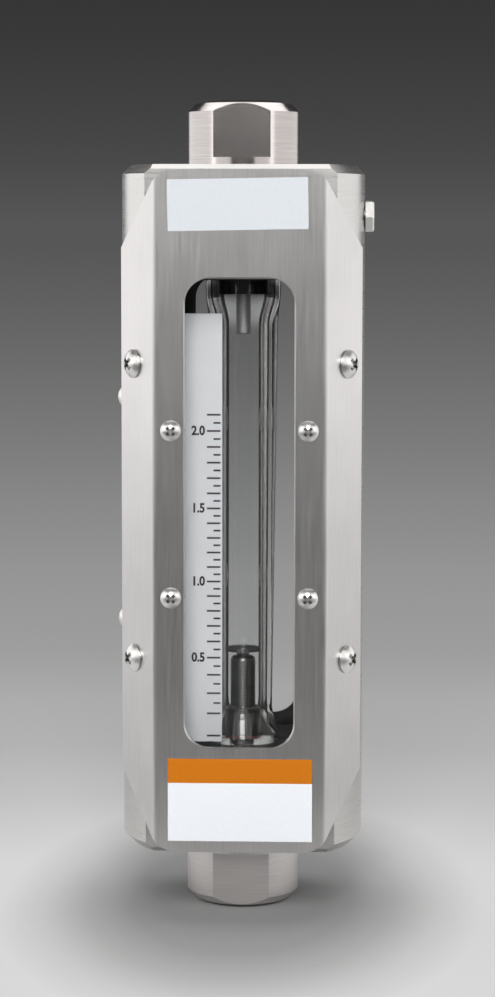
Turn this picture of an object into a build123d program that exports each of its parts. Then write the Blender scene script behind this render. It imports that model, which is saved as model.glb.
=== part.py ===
from build123d import *
import math
import os

os.makedirs("parts", exist_ok=True)

# Armoured glass-tube rotameter. Millimetres, +Z up, front towards -Y.
# The origin is the centre of the inlet fitting's end face.

# Frame
body_diameter = 82.0
body_height = 230.0
body_edge = 3.0
flat_edge = 1.5
rail_depth = 16.0
lower_block = 34.0
upper_block = 38.0
bay_corner = 6.0

# End fittings
boss_diameter = 38.1
fitting_reach = 21.5
wrench_width = 33.0
skirt_height = 2.5
crown_diameter = 24.4
crown_rise = 0.95
boss_edge = 2.8
port_diameter = 18.5
port_depth = 16.0
port_mouth = 1.3
flow_diameter = 15.0
chamber_diameter = 33.0
spigot_clearance = 0.1

# Metering tube: a slightly tapered thick-walled tube, flared inside and outside at both ends
passage_clearance = 0.75
passage_length = 9.5
tube_bore_low = 12.9
tube_bore_high = 13.1
tube_wall_low = 3.4
tube_wall_high = 5.4
tube_end_diameter = 24.9
tube_end_wall_low = 1.65
tube_end_wall_high = 3.85
tube_flare_length = 12.0
bore_flare_low = 9.5
bore_flare_high = 12.0
tube_overrun = 1.0
tube_end_round = 0.8

# Tube packing
packing_height = 3.0
packing_clearance = 0.1
follower_height = 3.0
follower_edge = 0.4
seal_section = 2.4
seal_depth = 6.5

# Float stops
stop_flange = 2.0
stop_clearance = 0.1
seat_depth = 1.9
tail_clearance = 0.5
seat_slot = 2.2
seat_lug = 2.7
seat_opening = 8.0
plug_clearance = 0.35
plug_drop = 4.9
plug_slot = 3.0
plug_core = 8.0
pin_diameter = 4.9
pin_reach = 13.7
pin_bite = 8.0
pin_clearance = 0.05
pin_edge = 0.5

# Float
float_tail_diameter = 5.6
float_tail_length = 5.5
float_tail_edge = 0.6
float_collar_diameter = 7.6
float_collar_height = 3.0
float_head_clearance = 0.35
float_head_height = 10.6
float_head_edge = 0.8
float_body_diameter = 8.5
float_body_height = 17.4
float_shoulder = 1.6
float_neck_diameter = 4.4
float_neck_height = 1.8
float_disc_diameter = 12.2
float_disc_height = 1.0
float_rest_gap = 0.1

# Shields, folded from sheet
sheet = 1.5
wing_gap = 0.1
face_width = 56.8
shield_height = 226.2
wing_angle = 56.5
wing_margin = 8.5
bend_radius = 2.2
window_width = 36.0
window_height = 155.4
window_corner = 8.1
window_edge = 0.45
corner_start = 20.5
corner_angle = 46.0
screw_gap = 0.2

# Panes behind the windows
pane_thickness = 3.0
pane_width = 53.6
pane_height = 172.0
pane_corner = 4.0

# Window screws
window_screw_x = 22.6
window_screw_z = 27.7
small_shank = 3.5
small_head = 6.9
small_head_height = 2.2
small_nut = 7.9
small_nut_height = 2.4
nut_overrun = 0.9
nut_room = 0.5

# Wing screws
wing_screw_z = 49.3
large_shank = 4.4
large_head = 9.5
large_head_height = 2.9
wing_screw_bite = 8.0
wing_screw_room = 0.8

# Straight side and cross recess of every pan head, as shares of its size
head_side = 0.25
recess_span = 0.5
recess_width = 0.15
recess_depth = 0.5

# Scale plate and its screws
plate_sheet = 1.2
plate_offset = 14.0
plate_edge = 6.6
plate_flange = 22.0
plate_height = 145.1
plate_lift = 1.5
scale_screw_z = 38.0
scale_screw_drop = 1.0
spot_depth = 0.4
spot_clearance = 0.6

# Lock screw of the outlet fitting
lock_drop = 16.9
lock_shank = 6.0
lock_hex = 10.0
lock_turn = 4.0
lock_edge = 0.5
lock_head_height = 2.9
lock_collar = 8.4
lock_collar_height = 0.6
lock_bite = 1.0

# Overrun of every cut past the face it starts from or breaks through
cut_overrun = 1.0

# Labels
label_sheet = 0.15
upper_label_width = 46.0
upper_label_height = 16.8
upper_label_drop = 11.3
upper_label_shift = -0.65
upper_label_turn = 1.0
lower_label_width = 48.0
lower_label_height = 27.8
lower_label_lift = 17.7
lower_label_shift = 0.3

# Levels and radii that follow from the sizes above
total_height = body_height + 2 * fitting_reach
middle = total_height / 2
body_radius = body_diameter / 2
bay_width = body_diameter - 2 * rail_depth
bay_height = body_height - lower_block - upper_block
spigot_radius = chamber_diameter / 2 - spigot_clearance
stack_height = passage_length + packing_height + follower_height
bay_floor = fitting_reach + lower_block
bay_ceiling = bay_floor + bay_height
bay_middle = (bay_floor + bay_ceiling) / 2
lower_shoulder = bay_floor - passage_length
upper_shoulder = bay_ceiling + passage_length
tube_start = lower_shoulder - packing_height - tube_overrun
tube_end = upper_shoulder + packing_height + tube_overrun
tube_end_radius = tube_end_diameter / 2
passage_radius = tube_end_radius + passage_clearance
end_bore_low = tube_end_radius - tube_end_wall_low
end_bore_high = tube_end_radius - tube_end_wall_high
seat_level = bay_floor - seat_depth
float_level = seat_level + float_rest_gap
plug_level = bay_ceiling - plug_drop


# Bore and outside radius of the tube at a height
def bore_radius(level):
    share = (level - bay_floor) / (bay_ceiling - bay_floor)
    share = min(max(share, 0), 1)
    return (tube_bore_low + share * (tube_bore_high - tube_bore_low)) / 2


def tube_radius(level):
    share = (level - bay_floor) / (bay_ceiling - bay_floor)
    return bore_radius(level) + tube_wall_low + share * (tube_wall_high - tube_wall_low)


float_head_radius = bore_radius(bay_floor) - float_head_clearance
follower_radius = tube_end_radius + packing_clearance

# Shield face distance from the axis, where the wings lie along the round body
wing_turn = math.radians(wing_angle)
wing_sine = math.sin(wing_turn)
wing_cosine = math.cos(wing_turn)
wing_distance = body_radius + wing_gap + sheet
face_offset = (wing_distance - face_width / 2 * wing_sine) / wing_cosine
bend_place = face_width / 2 * wing_cosine - face_offset * wing_sine
wing_length = wing_margin - bend_place
pane_offset = face_offset - sheet
nut_offset = pane_offset - pane_thickness
flat_offset = nut_offset - small_nut_height - nut_overrun - nut_room

# Working planes: outward planes of the front and the back at mid height
front = Plane(origin=(0, 0, middle), x_dir=(1, 0, 0), z_dir=(0, -1, 0))
back = Plane(origin=(0, 0, middle), x_dir=(-1, 0, 0), z_dir=(0, 1, 0))

# Axial section planes of the two ends, their y pointing into the meter
inlet_section = Plane(origin=(0, 0, 0), x_dir=(1, 0, 0), z_dir=(0, -1, 0))
outlet_section = Plane(origin=(0, 0, total_height), x_dir=(1, 0, 0), z_dir=(0, 1, 0))


# Outward plane of one wing, centred on its row of screws
def wing_plane(side, hand):
    across = side.x_dir * (hand * wing_sine) + side.z_dir * wing_cosine
    along = side.x_dir * (hand * wing_cosine) - side.z_dir * wing_sine
    centre = side.origin + across * wing_distance
    return Plane(origin=centre, x_dir=along, z_dir=across)


# The four wing screw places of one side, as outward planes
def wing_places(side):
    places = []
    for hand in (-1, 1):
        for level in (-wing_screw_z, wing_screw_z):
            wing = wing_plane(side, hand)
            places.append(Plane(origin=wing.origin + Vector(0, 0, level), x_dir=wing.x_dir, z_dir=wing.z_dir))
    return places


# The four window screw places of one side
def window_places(side, distance):
    places = []
    for across in (-window_screw_x, window_screw_x):
        for level in (-window_screw_z, window_screw_z):
            centre = side.origin + side.x_dir * across + Vector(0, 0, level) + side.z_dir * distance
            places.append(Plane(origin=centre, x_dir=side.x_dir, z_dir=side.z_dir))
    return places


# The two scale screw places on the left of the body
def scale_places(distance):
    places = []
    for level in (-scale_screw_z, scale_screw_z):
        centre = (-distance, 0, middle - scale_screw_drop + level)
        places.append(Plane(origin=centre, x_dir=(0, 1, 0), z_dir=(-1, 0, 0)))
    return places


lock_seat = body_radius - spot_depth
lock_level = total_height - fitting_reach - lock_drop
lock_place = Plane(origin=(lock_seat, 0, lock_level), x_dir=(0, 1, 0), z_dir=(1, 0, 0))
scale_seat = body_radius - spot_depth
scale_nut_seat = bay_width / 2 - plate_sheet

# Body: a round bar with milled flats, a bay right through it and a stepped bore at each end
with BuildPart() as body_frame:
    with BuildSketch(Plane.XY.offset(fitting_reach)) as bar:
        Circle(body_radius)
    extrude(amount=body_height)
    chamfer(body_frame.edges().filter_by(GeomType.CIRCLE), length=body_edge)
    with BuildSketch(Plane.XY.offset(fitting_reach)) as flats:
        Rectangle(body_diameter, body_diameter)
        Rectangle(body_diameter, 2 * flat_offset, mode=Mode.SUBTRACT)
    extrude(amount=body_height, mode=Mode.SUBTRACT)
    outline = body_frame.faces().filter_by(Axis.Y)
    chamfer(outline.edges().filter_by(Axis.X), length=flat_edge)
    with BuildSketch(front) as bay:
        with Locations((0, bay_middle - middle)):
            RectangleRounded(bay_width, bay_height, bay_corner)
    extrude(amount=body_radius, both=True, mode=Mode.SUBTRACT)
    for section, block in ((inlet_section, lower_block), (outlet_section, upper_block)):
        with BuildSketch(section) as stepped_bore:
            with Locations((0, fitting_reach)):
                Rectangle(chamber_diameter / 2, block - passage_length, align=(Align.MIN, Align.MIN))
                Rectangle(passage_radius, block + cut_overrun, align=(Align.MIN, Align.MIN))
        revolve(axis=Axis.Z, mode=Mode.SUBTRACT)
    for side in (front, back):
        for place in wing_places(side):
            with BuildSketch(place) as screw_hole:
                Circle(large_shank / 2)
            extrude(amount=-sheet - wing_gap - wing_screw_bite - wing_screw_room, mode=Mode.SUBTRACT)
    for place in scale_places(scale_seat):
        with BuildSketch(place) as spot_face:
            Circle(small_head / 2 + spot_clearance)
        extrude(amount=body_edge, mode=Mode.SUBTRACT)
        with BuildSketch(place) as screw_hole:
            Circle(small_shank / 2 + screw_gap)
        extrude(amount=-scale_seat + bay_width / 2 - cut_overrun, mode=Mode.SUBTRACT)
    with BuildSketch(lock_place) as spot_face:
        Circle(lock_hex / math.sqrt(3) + spot_clearance)
    extrude(amount=body_edge, mode=Mode.SUBTRACT)
    with BuildSketch(lock_place) as screw_hole:
        Circle(lock_shank / 2)
    extrude(amount=-lock_seat + chamber_diameter / 2 - cut_overrun, mode=Mode.SUBTRACT)
body_frame.part.label = "body_frame"
export_step(body_frame.part, "parts/body_frame.step")


# End fitting: crowned boss with two wrench flats, threaded port and spigot with a seal groove
def end_fitting(section, bottom, block, lock_tip):
    spigot_end = fitting_reach + block - stack_height
    with BuildPart() as fitting:
        with BuildSketch(section) as profile:
            with BuildLine():
                Polyline(
                    (flow_diameter / 2, port_depth),
                    (port_diameter / 2, port_depth),
                    (port_diameter / 2, port_mouth),
                    (port_diameter / 2 + port_mouth, 0),
                    (crown_diameter / 2, 0),
                    (boss_diameter / 2 - boss_edge, crown_rise),
                    (boss_diameter / 2, crown_rise + boss_edge),
                    (boss_diameter / 2, fitting_reach),
                    (spigot_radius, fitting_reach),
                    (spigot_radius, spigot_end),
                    (flow_diameter / 2, spigot_end),
                    close=True,
                )
            make_face()
            with Locations((spigot_radius, fitting_reach + seal_depth)):
                Rectangle(
                    2 * (seal_section - spigot_clearance),
                    seal_section + spigot_clearance,
                    mode=Mode.SUBTRACT,
                )
        revolve(axis=Axis.Z)
        with BuildSketch(Plane.XY.offset(bottom)) as flats:
            Rectangle(boss_diameter + cut_overrun, boss_diameter + cut_overrun)
            Rectangle(boss_diameter + cut_overrun, wrench_width, mode=Mode.SUBTRACT)
        extrude(amount=fitting_reach - skirt_height, mode=Mode.SUBTRACT)
        if lock_tip:
            with BuildSketch(lock_place) as tip_hole:
                Circle(lock_shank / 2 + screw_gap)
            extrude(amount=-lock_seat + spigot_radius - lock_bite - screw_gap, mode=Mode.SUBTRACT)
    return fitting


inlet_fitting = end_fitting(inlet_section, 0, lower_block, False)
inlet_fitting.part.label = "inlet_fitting"
export_step(inlet_fitting.part, "parts/inlet_fitting.step")

outlet_flats = total_height - fitting_reach + skirt_height
outlet_fitting = end_fitting(outlet_section, outlet_flats, upper_block, True)
outlet_fitting.part.label = "outlet_fitting"
export_step(outlet_fitting.part, "parts/outlet_fitting.step")


# Seal ring in the groove of a spigot
def spigot_seal(section):
    with BuildPart() as seal:
        with BuildSketch(section) as ring:
            with Locations((chamber_diameter / 2 - seal_section / 2, fitting_reach + seal_depth)):
                Circle(seal_section / 2)
        revolve(axis=Axis.Z)
    return seal


inlet_seal = spigot_seal(inlet_section)
inlet_seal.part.label = "inlet_seal"
export_step(inlet_seal.part, "parts/inlet_seal.step")

outlet_seal = spigot_seal(outlet_section)
outlet_seal.part.label = "outlet_seal"
export_step(outlet_seal.part, "parts/outlet_seal.step")

# Metering tube: its bore and its outside open out at both ends, where the stops and the packing sit
flare_low = bay_floor + tube_flare_length
flare_high = bay_ceiling - tube_flare_length
throat_low = seat_level + seat_lug + bore_flare_low
throat_high = plug_level - bore_flare_high
with BuildPart() as glass_tube:
    with BuildSketch(Plane.XZ) as profile:
        with BuildLine():
            Line((end_bore_low, tube_start), (end_bore_low, throat_low - bore_flare_low))
            Spline(
                (end_bore_low, throat_low - bore_flare_low),
                (bore_radius(throat_low), throat_low),
                tangents=((0, 1), (0, 1)),
            )
            Line((bore_radius(throat_low), throat_low), (bore_radius(throat_high), throat_high))
            Spline(
                (bore_radius(throat_high), throat_high),
                (end_bore_high, plug_level),
                tangents=((0, 1), (0, 1)),
            )
            Polyline(
                (end_bore_high, plug_level),
                (end_bore_high, tube_end),
                (tube_end_radius, tube_end),
                (tube_end_radius, bay_ceiling),
            )
            Spline(
                (tube_end_radius, bay_ceiling),
                (tube_radius(flare_high), flare_high),
                tangents=((0, -1), (0, -1)),
            )
            Line((tube_radius(flare_high), flare_high), (tube_radius(flare_low), flare_low))
            Spline(
                (tube_radius(flare_low), flare_low),
                (tube_end_radius, bay_floor),
                tangents=((0, -1), (0, -1)),
            )
            Polyline(
                (tube_end_radius, bay_floor),
                (tube_end_radius, tube_start),
                (end_bore_low, tube_start),
            )
        make_face()
    revolve(axis=Axis.Z)
    rims = glass_tube.edges().filter_by(GeomType.CIRCLE)
    outer_rims = rims.group_by(Axis.Z)[0].sort_by(SortBy.RADIUS)[-1:]
    outer_rims += rims.group_by(Axis.Z)[-1].sort_by(SortBy.RADIUS)[-1:]
    fillet(outer_rims, radius=tube_end_round)
glass_tube.part.label = "glass_tube"
export_step(glass_tube.part, "parts/glass_tube.step")


# Packing ring round a tube end, squeezed between the body shoulder and the follower
def packing_ring(bottom, inner):
    with BuildPart() as packing:
        with BuildSketch(Plane.XY.offset(bottom)) as ring:
            Circle(chamber_diameter / 2 - packing_clearance)
            Circle(inner + packing_clearance, mode=Mode.SUBTRACT)
        extrude(amount=packing_height)
    return packing


lower_packing = packing_ring(lower_shoulder - packing_height, tube_end_radius)
lower_packing.part.label = "lower_packing"
export_step(lower_packing.part, "parts/lower_packing.step")

upper_packing = packing_ring(upper_shoulder, tube_end_radius)
upper_packing.part.label = "upper_packing"
export_step(upper_packing.part, "parts/upper_packing.step")


# Follower that carries the spigot's thrust to the packing
def follower_ring(bottom):
    with BuildPart() as follower:
        with BuildSketch(Plane.XY.offset(bottom)) as ring:
            Circle(spigot_radius)
            Circle(follower_radius + packing_clearance, mode=Mode.SUBTRACT)
        extrude(amount=follower_height)
        rims = follower.edges().filter_by(GeomType.CIRCLE)
        chamfer(rims.group_by(SortBy.RADIUS)[-1], length=follower_edge)
    return follower


lower_follower = follower_ring(lower_shoulder - packing_height - follower_height)
lower_follower.part.label = "lower_follower"
export_step(lower_follower.part, "parts/lower_follower.step")

upper_follower = follower_ring(upper_shoulder + packing_height)
upper_follower.part.label = "upper_follower"
export_step(upper_follower.part, "parts/upper_follower.step")

# Lower stop: flanged seat in the tube's foot with four lugs, its hole guiding the float's tail
seat_radius = end_bore_low - stop_clearance
seat_hole = float_tail_diameter / 2 + tail_clearance
with BuildPart() as lower_stop:
    with BuildSketch(Plane.XY.offset(tube_start - stop_flange)) as flange:
        Circle(follower_radius)
    extrude(amount=stop_flange)
    with BuildSketch(Plane.XY.offset(tube_start)) as seat:
        Circle(seat_radius)
    extrude(amount=seat_level - tube_start)
    with BuildSketch(Plane.XY.offset(seat_level)) as lugs:
        Circle(seat_radius)
        Circle(float_head_radius + float_head_clearance, mode=Mode.SUBTRACT)
        Rectangle(2 * seat_radius, seat_opening, mode=Mode.SUBTRACT)
        Rectangle(seat_opening, 2 * seat_radius, mode=Mode.SUBTRACT)
    extrude(amount=seat_lug)
    with BuildSketch(Plane.XY.offset(tube_start - stop_flange)) as passages:
        Circle(seat_hole)
        with Locations(Rotation(0, 0, 0), Rotation(0, 0, 90)):
            SlotOverall(2 * (seat_radius - tail_clearance), seat_slot)
    extrude(amount=seat_level - tube_start + stop_flange, mode=Mode.SUBTRACT)
lower_stop.part.label = "lower_stop"
export_step(lower_stop.part, "parts/lower_stop.step")

# Upper stop: slotted plug in the tube's head, round the pin that the float comes up to
plug_radius = end_bore_high - plug_clearance
with BuildPart() as upper_stop:
    with BuildSketch(Plane.XY.offset(plug_level)) as plug:
        Circle(plug_radius)
    extrude(amount=tube_end - plug_level)
    with BuildSketch(Plane.XY.offset(tube_end)) as flange:
        Circle(follower_radius)
    extrude(amount=stop_flange)
    with BuildSketch(Plane.XY.offset(plug_level)) as slots:
        with PolarLocations(plug_core / 2 + plug_radius, 4):
            Rectangle(2 * plug_radius, plug_slot)
    extrude(amount=tube_end - plug_level, mode=Mode.SUBTRACT)
    with BuildSketch(Plane.XY.offset(tube_end)) as ports:
        with PolarLocations((plug_core / 2 + flow_diameter / 2) / 2, 4):
            Rectangle((flow_diameter - plug_core) / 2, plug_slot)
    extrude(amount=stop_flange, mode=Mode.SUBTRACT)
    with BuildSketch(Plane.XY.offset(plug_level)) as pin_hole:
        Circle(pin_diameter / 2 + pin_clearance)
    extrude(amount=pin_bite + pin_clearance, mode=Mode.SUBTRACT)
upper_stop.part.label = "upper_stop"
export_step(upper_stop.part, "parts/upper_stop.step")

# Stop pin, standing down out of the upper stop
with BuildPart() as stop_pin:
    with BuildSketch(Plane.XY.offset(plug_level - pin_reach)) as section:
        Circle(pin_diameter / 2)
    extrude(amount=pin_reach + pin_bite)
    chamfer(stop_pin.edges().filter_by(GeomType.CIRCLE), length=pin_edge)
stop_pin.part.label = "stop_pin"
export_step(stop_pin.part, "parts/stop_pin.step")

# Float: guided tail, collar on the seat, metering head, stem body with a rounded shoulder, neck and top disc
head_bottom = float_level + float_collar_height
head_top = head_bottom + float_head_height
body_top = head_top + float_body_height
disc_bottom = body_top + float_neck_height
disc_top = disc_bottom + float_disc_height
with BuildPart() as float_body:
    with BuildSketch(Plane.XZ) as profile:
        with BuildLine():
            Polyline(
                (0, float_level - float_tail_length),
                (float_tail_diameter / 2 - float_tail_edge, float_level - float_tail_length),
                (float_tail_diameter / 2, float_level - float_tail_length + float_tail_edge),
                (float_tail_diameter / 2, float_level),
                (float_collar_diameter / 2, float_level),
                (float_collar_diameter / 2, head_bottom),
                (float_head_radius, head_bottom),
                (float_head_radius, head_top - float_head_edge),
                (float_head_radius - float_head_edge, head_top),
                (float_body_diameter / 2, head_top),
                (float_body_diameter / 2, body_top - float_shoulder),
            )
            RadiusArc(
                (float_body_diameter / 2, body_top - float_shoulder),
                (float_body_diameter / 2 - float_shoulder, body_top),
                -float_shoulder,
            )
            Polyline(
                (float_body_diameter / 2 - float_shoulder, body_top),
                (float_neck_diameter / 2, body_top),
                (float_neck_diameter / 2, disc_bottom),
                (float_disc_diameter / 2, disc_bottom),
                (float_disc_diameter / 2, disc_top),
                (0, disc_top),
                (0, float_level - float_tail_length),
            )
        make_face()
    revolve(axis=Axis.Z)
float_body.part.label = "float"
export_step(float_body.part, "parts/float.step")


# Shield: one folded sheet with a window, cut corners and rows of screw holes
def shield(side):
    half_face = face_width / 2
    half_height = shield_height / 2
    inner_bend = (body_radius + wing_gap - pane_offset * wing_cosine) / wing_sine
    rear_x = half_face + wing_length * wing_cosine
    rear_y = -face_offset + wing_length * wing_sine
    corner_radius = (half_face - corner_start) / math.sin(math.radians(corner_angle))
    corner_drop = corner_radius * (1 - math.cos(math.radians(corner_angle)))
    wing_drop = wing_length * math.tan(math.radians(corner_angle))
    section = Plane(origin=(0, 0, middle - half_height), x_dir=side.x_dir, z_dir=(0, 0, 1))
    with BuildPart() as folded:
        with BuildSketch(section) as profile:
            with BuildLine():
                Polyline(
                    (-rear_x, rear_y),
                    (-half_face, -face_offset),
                    (half_face, -face_offset),
                    (rear_x, rear_y),
                    (rear_x - sheet * wing_sine, rear_y + sheet * wing_cosine),
                    (inner_bend, -pane_offset),
                    (-inner_bend, -pane_offset),
                    (-rear_x + sheet * wing_sine, rear_y + sheet * wing_cosine),
                    close=True,
                )
            make_face()
            corners = profile.vertices().filter_by(lambda v: abs(abs(v.Y) - face_offset) < sheet / 2)
            fillet(corners, radius=bend_radius)
        extrude(amount=shield_height)
        with BuildSketch(side.offset(face_offset)) as window:
            RectangleRounded(window_width, window_height, window_corner)
        extrude(amount=-sheet * 2, mode=Mode.SUBTRACT)
        rim = folded.faces().sort_by(Axis(side.origin, side.z_dir))[-1].inner_wires()[0]
        chamfer(rim.edges(), length=window_edge)
        for place in window_places(side, face_offset):
            with BuildSketch(place) as hole:
                Circle(small_shank / 2 + screw_gap)
            extrude(amount=-sheet * 2, mode=Mode.SUBTRACT)
        for place in wing_places(side):
            with BuildSketch(place) as hole:
                Circle(large_shank / 2 + screw_gap)
            extrude(amount=-sheet * 2, mode=Mode.SUBTRACT)
        with BuildSketch(side.offset(face_offset + cut_overrun)) as face_corners:
            for up in (-1, 1):
                for hand in (-1, 1):
                    bow = math.radians(corner_angle) / 2
                    middle_x = corner_start + corner_radius * math.sin(bow)
                    middle_drop = corner_radius * (1 - math.cos(bow))
                    with BuildLine():
                        ThreePointArc(
                            (hand * corner_start, up * half_height),
                            (hand * middle_x, up * (half_height - middle_drop)),
                            (hand * half_face, up * (half_height - corner_drop)),
                        )
                        Polyline(
                            (hand * half_face, up * (half_height - corner_drop)),
                            (hand * rear_x, up * (half_height - corner_drop)),
                            (hand * rear_x, up * (half_height + cut_overrun)),
                            (hand * corner_start, up * (half_height + cut_overrun)),
                            (hand * corner_start, up * half_height),
                        )
                    make_face()
        extrude(amount=-2 * sheet - cut_overrun, mode=Mode.SUBTRACT)
        for hand in (-1, 1):
            with BuildSketch(wing_plane(side, hand).offset(cut_overrun)) as wing_corners:
                for up in (-1, 1):
                    with BuildLine():
                        Polyline(
                            (bend_place, up * (half_height - corner_drop)),
                            (wing_margin, up * (half_height - corner_drop - wing_drop)),
                            (wing_margin + cut_overrun, up * (half_height - corner_drop - wing_drop)),
                            (wing_margin + cut_overrun, up * (half_height + cut_overrun)),
                            (bend_place, up * (half_height + cut_overrun)),
                            close=True,
                        )
                    make_face()
            extrude(amount=-2 * sheet - cut_overrun, mode=Mode.SUBTRACT)
    return folded


front_shield = shield(front)
front_shield.part.label = "front_shield"
export_step(front_shield.part, "parts/front_shield.step")

rear_shield = shield(back)
rear_shield.part.label = "rear_shield"
export_step(rear_shield.part, "parts/rear_shield.step")


# Clear pane clamped behind a shield's window
def pane(side):
    with BuildPart() as clear:
        with BuildSketch(side.offset(nut_offset)) as outline:
            RectangleRounded(pane_width, pane_height, pane_corner)
        extrude(amount=pane_thickness)
        for place in window_places(side, nut_offset):
            with BuildSketch(place) as hole:
                Circle(small_shank / 2 + screw_gap)
            extrude(amount=pane_thickness, mode=Mode.SUBTRACT)
    return clear


front_pane = pane(front)
front_pane.part.label = "front_pane"
export_step(front_pane.part, "parts/front_pane.step")

rear_pane = pane(back)
rear_pane.part.label = "rear_pane"
export_step(rear_pane.part, "parts/rear_pane.step")


# Pan-head screws with a domed head and a cross recess, one solid on each place
def pan_screws(places, shank, head, head_height, length):
    with BuildPart() as screws:
        for place in places:
            section = Plane(origin=place.origin, x_dir=place.x_dir, z_dir=place.x_dir.cross(place.z_dir))
            dome_height = head_height * (1 - head_side)
            dome_radius = ((head / 2) ** 2 + dome_height ** 2) / (2 * dome_height)
            with BuildSketch(section) as profile:
                with BuildLine():
                    Polyline(
                        (0, head_height),
                        (0, -length),
                        (shank / 2, -length),
                        (shank / 2, 0),
                        (head / 2, 0),
                        (head / 2, head_height * head_side),
                    )
                    RadiusArc((head / 2, head_height * head_side), (0, head_height), -dome_radius)
                make_face()
            revolve(axis=Axis(place.origin, place.z_dir))
            with BuildSketch(place.offset(head_height)) as recess:
                Rectangle(head * recess_span, head * recess_width, rotation=45)
                Rectangle(head * recess_width, head * recess_span, rotation=45)
            extrude(amount=-head_height * recess_depth, mode=Mode.SUBTRACT)
    return screws


window_screw_length = face_offset - nut_offset + small_nut_height + nut_overrun
front_window_screws = pan_screws(
    window_places(front, face_offset), small_shank, small_head, small_head_height, window_screw_length
)
front_window_screws.part.label = "front_window_screws"
export_step(front_window_screws.part, "parts/front_window_screws.step")

rear_window_screws = pan_screws(
    window_places(back, face_offset), small_shank, small_head, small_head_height, window_screw_length
)
rear_window_screws.part.label = "rear_window_screws"
export_step(rear_window_screws.part, "parts/rear_window_screws.step")

wing_screw_length = sheet + wing_gap + wing_screw_bite
front_shield_screws = pan_screws(
    wing_places(front), large_shank, large_head, large_head_height, wing_screw_length
)
front_shield_screws.part.label = "front_shield_screws"
export_step(front_shield_screws.part, "parts/front_shield_screws.step")

rear_shield_screws = pan_screws(
    wing_places(back), large_shank, large_head, large_head_height, wing_screw_length
)
rear_shield_screws.part.label = "rear_shield_screws"
export_step(rear_shield_screws.part, "parts/rear_shield_screws.step")

scale_screw_length = scale_seat - scale_nut_seat + small_nut_height + nut_overrun
scale_screws = pan_screws(
    scale_places(scale_seat), small_shank, small_head, small_head_height, scale_screw_length
)
scale_screws.part.label = "scale_screws"
export_step(scale_screws.part, "parts/scale_screws.step")


# Hexagon nuts, their outer faces on the given places and their bodies inward
def hex_nuts(places):
    with BuildPart() as nuts:
        for place in places:
            with BuildSketch(place) as blank:
                RegularPolygon(small_nut / 2, 6, major_radius=False)
                Circle(small_shank / 2, mode=Mode.SUBTRACT)
            extrude(amount=-small_nut_height)
    return nuts


front_window_nuts = hex_nuts(window_places(front, nut_offset))
front_window_nuts.part.label = "front_window_nuts"
export_step(front_window_nuts.part, "parts/front_window_nuts.step")

rear_window_nuts = hex_nuts(window_places(back, nut_offset))
rear_window_nuts.part.label = "rear_window_nuts"
export_step(rear_window_nuts.part, "parts/rear_window_nuts.step")

scale_nuts = hex_nuts(scale_places(scale_nut_seat))
scale_nuts.part.label = "scale_nuts"
export_step(scale_nuts.part, "parts/scale_nuts.step")

# Scale plate: an angle of sheet, its flange on the left wall of the bay
plate_bottom = bay_floor + plate_lift
with BuildPart() as scale_plate:
    with BuildSketch(Plane.XY.offset(plate_bottom)) as angle:
        with Locations((-bay_width / 2, -plate_offset)):
            Rectangle(plate_sheet, plate_flange, align=(Align.MIN, Align.MIN))
            Rectangle(bay_width / 2 - plate_edge, plate_sheet, align=(Align.MIN, Align.MIN))
    extrude(amount=plate_height)
    fold = scale_plate.edges().filter_by(Axis.Z).sort_by_distance((-bay_width / 2, -plate_offset, middle))[0]
    fillet(fold, radius=plate_sheet)
    with BuildSketch(front) as bay_outline:
        with Locations((0, bay_middle - middle)):
            RectangleRounded(bay_width, bay_height - 2 * plate_lift, bay_corner)
    extrude(amount=body_radius, both=True, mode=Mode.INTERSECT)
    for place in scale_places(bay_width / 2):
        with BuildSketch(place) as hole:
            Circle(small_shank / 2 + screw_gap)
        extrude(amount=-plate_sheet, mode=Mode.SUBTRACT)
scale_plate.part.label = "scale_plate"
export_step(scale_plate.part, "parts/scale_plate.step")

# Lock screw: hexagon head on a collar, its tip in the outlet fitting's spigot
with BuildPart() as lock_screw:
    with BuildSketch(lock_place) as collar:
        Circle(lock_collar / 2)
    extrude(amount=lock_collar_height)
    with BuildSketch(lock_place.offset(lock_collar_height)) as hexagon:
        RegularPolygon(lock_hex / 2, 6, major_radius=False, rotation=lock_turn)
    extrude(amount=lock_head_height)
    chamfer(lock_screw.faces().sort_by(Axis.X)[-1].edges(), length=lock_edge)
    with BuildSketch(lock_place) as shank_disc:
        Circle(lock_shank / 2)
    extrude(amount=-lock_seat + spigot_radius - lock_bite)
lock_screw.part.label = "lock_screw"
export_step(lock_screw.part, "parts/lock_screw.step")

# Upper label, stuck on very slightly turned
with BuildPart() as upper_label:
    with BuildSketch(front.offset(face_offset)) as sticker:
        with Locations((upper_label_shift, shield_height / 2 - upper_label_drop)):
            Rectangle(upper_label_width, upper_label_height, rotation=upper_label_turn)
    extrude(amount=label_sheet)
upper_label.part.label = "upper_label"
export_step(upper_label.part, "parts/upper_label.step")

# Lower label
with BuildPart() as lower_label:
    with BuildSketch(front.offset(face_offset)) as sticker:
        with Locations((lower_label_shift, lower_label_lift - shield_height / 2)):
            Rectangle(lower_label_width, lower_label_height)
    extrude(amount=label_sheet)
lower_label.part.label = "lower_label"
export_step(lower_label.part, "parts/lower_label.step")
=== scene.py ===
import math

import bmesh
import bpy
from mathutils import Matrix, Vector


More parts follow.
